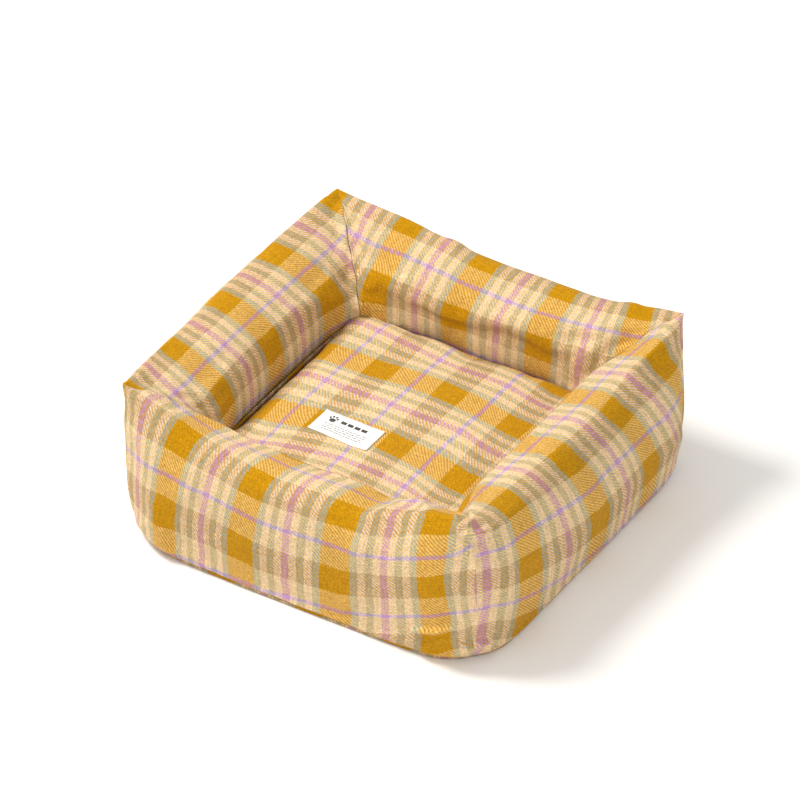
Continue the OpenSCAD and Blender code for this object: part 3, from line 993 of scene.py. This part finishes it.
def add_base(ring):
    outline = foot_outline(ring)
    normals = plan_normals(outline)
    count = len(outline)
    rings = 26
    shares = np.linspace(0.04, 1, rings)
    edge = outline - normals * BASE_INSET * MM
    flat = np.vstack([edge * share for share in shares])
    wave = 0.3 * MM * soft_noise(np.c_[flat, np.zeros(len(flat))], 0.05, 3)
    points = np.c_[flat, BASE_HEIGHT * MM + wave]
    faces = grid_faces(rings, count, wrap_columns=True)
    points = np.vstack([points, [[0, 0, BASE_HEIGHT * MM]]])
    faces += [(rings * count, k, (k + 1) % count) for k in range(count)]
    cloth = add_piece("base_sheet", points, faces, non_slip, "nest",
                      ["base_cloth"])
    thicken(cloth, BASE_THICK * MM)
    area = 0.5 * abs(np.sum(edge[:, 0] * np.roll(edge[:, 1], -1)
                            - edge[:, 1] * np.roll(edge[:, 0], -1)))
    # The binding is a strip folded round a filler and sewn to the base cloth's edge
    sides, side_width = 10, 1.2 * MM
    turn = np.linspace(0, math.tau, sides, endpoint=False)
    away, up = BINDING_HALF[0] * MM * np.cos(turn), BINDING_HALF[1] * MM * np.sin(turn)
    inset, height = (size * MM for size in BINDING_MIDDLE)
    length = lengths_along(outline)
    band = [np.c_[outline[i] + np.outer(away - inset, normals[i]), up + height]
            for i in range(count)]
    uv = [[(length[i], side_width * k) for k in range(sides)] for i in range(count)]
    faces = [face[::-1] for face in grid_faces(count, sides, wrap_rows=True, wrap_columns=True)]
    strip = add_piece("base_binding_strip", np.array(band).reshape(-1, 3), faces, plaid, "nest",
                      ["base_binding"], np.array(uv).reshape(-1, 2))


def add_base_pad():
    """Wadding under the loose cushion and the lining laid over it."""
    low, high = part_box("base_wadding")
    cells = 30
    line = np.sin(np.linspace(-1, 1, cells + 1) * math.pi / 2)
    a, b = np.meshgrid(line, line)
    rim = ((1 - np.abs(a) ** 16) * (1 - np.abs(b) ** 16)) ** 0.4
    half = (high - low) / 2
    middle = (low.z + high.z) / 2

    def unevenness(size, seed):
        plan = np.stack([a * half.x, b * half.y, 0 * a], 2).reshape(-1, 3)
        return soft_noise(plan, size, seed).reshape(a.shape) * rim

    lump = 0.5 * MM * unevenness(0.04, 5)
    upper = np.stack([a * half.x, b * half.y, middle + (half.z - 0.6 * MM) * rim + lump], 2)
    lower = np.stack([a * half.x, b * half.y, middle - half.z * rim], 2)
    n = cells + 1
    faces = grid_faces(n, n) + [face[::-1] for face in grid_faces(n, n, start=n * n)]
    order = np.arange(n * n).reshape(n, n)
    edge = np.r_[order[0, :-1], order[:-1, -1], order[-1, :0:-1], order[:0:-1, 0]].tolist()
    faces += [(after, here, here + n * n, after + n * n)
              for here, after in zip(edge, edge[1:] + edge[:1])]
    pad = add_piece("base_pad", np.vstack([upper.reshape(-1, 3), lower.reshape(-1, 3)]), faces,
                    fibre, "nest", ["base_wadding"])

    low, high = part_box("floor_lining")
    half = (high - low) / 2
    crumple = 0.35 * MM * unevenness(0.035, 9)
    sheet = np.stack([a * half.x, b * half.y, high.z - 0.1 * MM + crumple], 2)
    lining = add_piece("floor_lining_sheet", sheet.reshape(-1, 3), grid_faces(n, n), lining_cloth,
                       "nest", ["floor_lining"])
    thicken(lining, 0.7 * MM)


def inner_face_r(wall, u, heights):
    path = wall_section(wall, u)[1][::-1]
    return np.interp(heights, path[:, 1], path[:, 0])


def add_upstand():
    """The plaid lining's edge, turned up the walls' inner faces."""
    rows = 12
    heights = np.linspace(lining_low.z, lining_high.z, rows)
    points, cloth, start = [], [], 0.0
    for wall in WALLS:
        further, longer = mitre_shifts(wall)
        for u in station_places()[:-1:2]:
            r = inner_face_r(wall, u, heights) - 0.9 * MM
            along = u * (r + longer)
            points.append(in_world(wall, r + further, along, heights))
            cloth.append(np.stack([start + along, heights], 1))
        start += 2 * INNER_R
    faces = [face[::-1] for face in grid_faces(len(points), rows, wrap_rows=True)]
    piece = add_piece("lining_band", np.array(points).reshape(-1, 3), faces, plaid, "nest",
                      ["lining_upstand"], np.array(cloth).reshape(-1, 2))
    thicken(piece, -0.5 * MM)


SEAM_STITCH = (4.6, 3.4, 0.36)


def add_corner_seams(ring):
    """Thread showing in the seam down each inner corner."""
    for index, wall in enumerate(WALLS):
        corner = CORNERS[wall][1]
        station = ring[index * (WALL_CELLS + 1) + WALL_CELLS]
        path = station[OUTER_CELLS + 1:OUTER_CELLS + INNER_CELLS - 6]
        to_middle = -path * np.array((1, 1, 0))
        to_middle /= np.linalg.norm(to_middle, axis=1, keepdims=True)
        add_stitches(f"seam_{corner}", path + to_middle * 0.5 * MM, SEAM_STITCH, thread, "nest",
                     [f"corner_seam_{corner}"])


# ---------------------------------------------------------------- the label
LABEL_LENGTH, LABEL_WIDTH = 0.071, 0.036
LABEL_TURN = math.radians(-1)
LABEL_MIDDLE = sum(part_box("label"), Vector()) / 2
# In millimetres: the stitching's distance from the edge, and heights above the cushion
LABEL_HEM = 2.2
SHEET_LIFT, PRINT_LIFT, STITCH_LIFT = 0.75, 0.83, 0.86
LABEL_STITCH = (2.7, 1.9, 0.17)
ABOVE_Z = 0.2


def disc(centre, radii, turn, sides=20):
    angle = np.arange(sides) * math.tau / sides
    x, y = radii[0] * np.cos(angle), radii[1] * np.sin(angle)
    cos, sin = math.cos(turn), math.sin(turn)
    return np.stack([centre[0] + x * cos - y * sin, centre[1] + x * sin + y * cos], 1)


def bar(left, right, middle, height):
    low, high = middle - height / 2, middle + height / 2
    return [(left, low), (right, low), (right, high), (left, high)]


class Label:
    """The sewn label, which follows the cushion's crown."""

    def __init__(self, cushion):
        mesh = cushion.data
        self.tree = BVHTree.FromPolygons([tuple(v.co) for v in mesh.vertices],
                                         [tuple(f.vertices) for f in mesh.polygons])

    def place(self, across, along, lift):
        """World point of a place on the label, in millimetres from its middle."""
        cos, sin = math.cos(LABEL_TURN), math.sin(LABEL_TURN)
        x = LABEL_MIDDLE.x + (across * cos - along * sin) * MM
        y = LABEL_MIDDLE.y + (across * sin + along * cos) * MM
        hit = self.tree.ray_cast(Vector((x, y, ABOVE_Z)), Vector((0, 0, -1)))[0]
        return (x, y, hit.z + lift * MM)

    def add_sheet(self):
        columns, rows = 27, 16
        a, b = grid_places(columns, rows)
        across, along = a * LABEL_LENGTH / 2, b * LABEL_WIDTH / 2
        curl = 0.9 * np.abs(a) ** 12 * np.abs(b) ** 6 + 0.25 * np.abs(a) ** 20
        pull = 0.25 * np.sin(9 * a + 1) * np.abs(b) ** 8
        points = [self.place(*place) for place in zip(across / MM, along / MM + pull,
                                                    SHEET_LIFT + curl)]
        piece = add_piece("label_sheet", points, grid_faces(rows, columns), satin, "cushion",
                          ["label"], np.stack([across, along], 1))
        thicken(piece, 0.35 * MM)
        return piece

    def add_stitches(self):
        half_l, half_w = (side / MM / 2 - LABEL_HEM for side in (LABEL_LENGTH, LABEL_WIDTH))
        side, steps = np.arange(5), 14
        at = np.arange(4 * steps) / steps
        across = np.interp(at, side, (-1, 1, 1, -1, -1)) * half_l
        along = np.interp(at, side, (-1, -1, 1, 1, -1)) * half_w
        path = [self.place(*place, STITCH_LIFT) for place in zip(across, along)]
        return add_stitches("label_stitching", path, LABEL_STITCH, label_thread, "cushion",
                            ["label_stitches"], closed=True)

    def add_print(self):
        """A plain paw mark and rows of strokes, with no lettering."""
        shapes = [disc((-20.5, 5.2), (3.6, 3.0), 0)]
        for x, y, turn in ((-24.8, 8.6, 0.5), (-22.3, 11.0, 0.2), (-18.7, 11.0, -0.2),
                           (-16.2, 8.6, -0.5)):
            shapes.append(disc((x, y), (1.15, 1.75), turn))
        for left, right in ((-11, -4.6), (-2.8, 3.6), (5.4, 11.8), (13.6, 20)):
            shapes.append(bar(left, right, 7.2, 4.4))
        rng = np.random.default_rng(12)
        for middle in (-1.6, -4.6, -7.6, -10.6):
            left = -25.0
            while left < 22:
                width = rng.uniform(2.2, 6.0)
                shapes.append(bar(left, min(left + width, 25), middle, 0.75))
                left += width + 1.1
        points, faces = [], []
        for shape in shapes:
            faces.append(tuple(range(len(points), len(points) + len(shape))))
            points.extend(self.place(x, y, PRINT_LIFT) for x, y in shape)
        return add_piece("label_print", points, faces, ink, "cushion", smooth=False)


def add_label(cushion):
    label = Label(cushion)
    sheet, stitching, mark = label.add_sheet(), label.add_stitches(), label.add_print()


# ---------------------------------------------------------------- the zip
# The tapes' ends are tucked in behind the cover
TAPE_TUCK = Vector((0.006, 0, 0))


def add_tape(name):
    low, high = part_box(f"zip_tape_{name}")
    low, high = low - TAPE_TUCK, high + TAPE_TUCK
    columns, rows = 90, 5
    a, b = ((axis + 1) / 2 for axis in grid_places(columns, rows))
    wave = 0.12 * MM * np.sin(61 * a + 2 * b)
    points = np.stack([mix(low.x, high.x, a), high.y - 0.15 * MM + wave, mix(low.z, high.z, b)], 1)
    piece = add_piece(f"zip_tape_{name}_sheet", points, grid_faces(rows, columns), tape,
                      "cushion", [f"zip_tape_{name}"], points[:, [0, 2]])
    thicken(piece, 0.5 * MM)


def add_coil():
    """The zip's teeth, one spiral wire squeezed flat."""
    low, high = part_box("zip_coil")
    middle, half = (low + high) / 2, (high - low) / 2
    wire, pitch, sides, turn_steps = 0.36 * MM, 1.7 * MM, 5, 9
    turns = int(2 * half.x / pitch)
    count = turns * turn_steps
    angle = np.linspace(0, math.tau * turns, count)
    radial = np.stack([0 * angle, np.sin(angle), np.cos(angle)], 1)
    centre = np.stack([np.linspace(low.x + wire, high.x - wire, count),
                       middle.y + (half.y - wire) * radial[:, 1],
                       middle.z + (half.z - wire) * radial[:, 2]], 1)
    turn = np.linspace(0, math.tau, sides, endpoint=False)[None, :, None]
    points = centre[:, None] + wire * (np.cos(turn) * radial[:, None]
                                       + np.sin(turn) * np.array((1.0, 0.0, 0.0)))
    add_piece("zip_teeth", points.reshape(-1, 3), grid_faces(count, sides, wrap_columns=True),
              coil, "cushion", ["zip_coil"])


def add_zip():
    add_tape("upper")
    add_tape("lower")
    add_coil()
    for node in ("zip_end_stops", "zip_slider", "zip_pull"):
        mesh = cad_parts[node].data
        mesh.materials.clear()
        mesh.materials.append(metal)


non_slip = plain_weave_material("non_slip_cloth", linear(98, 88, 76), linear(58, 51, 44), 0.9,
                                bump_mm=0.15)
lining_cloth = plain_weave_material("lining_cloth", linear(226, 200, 150),
                                    linear(188, 156, 98), 0.5)
fibre = fibre_material()
thread = thread_material("sewing_thread", linear(196, 160, 92))
label_thread = thread_material("label_thread", linear(214, 210, 200))
tape = plain_weave_material("zip_tape", linear(196, 146, 42), linear(150, 104, 20), 0.45)
coil = coil_material()
metal = metal_material()
satin = label_material()
ink = print_material()

add_camera()
add_studio()
ring = add_walls()
cushion_top = add_cushion()
add_base(ring)
add_base_pad()
add_upstand()
add_corner_seams(ring)
add_label(cushion_top)
add_zip()
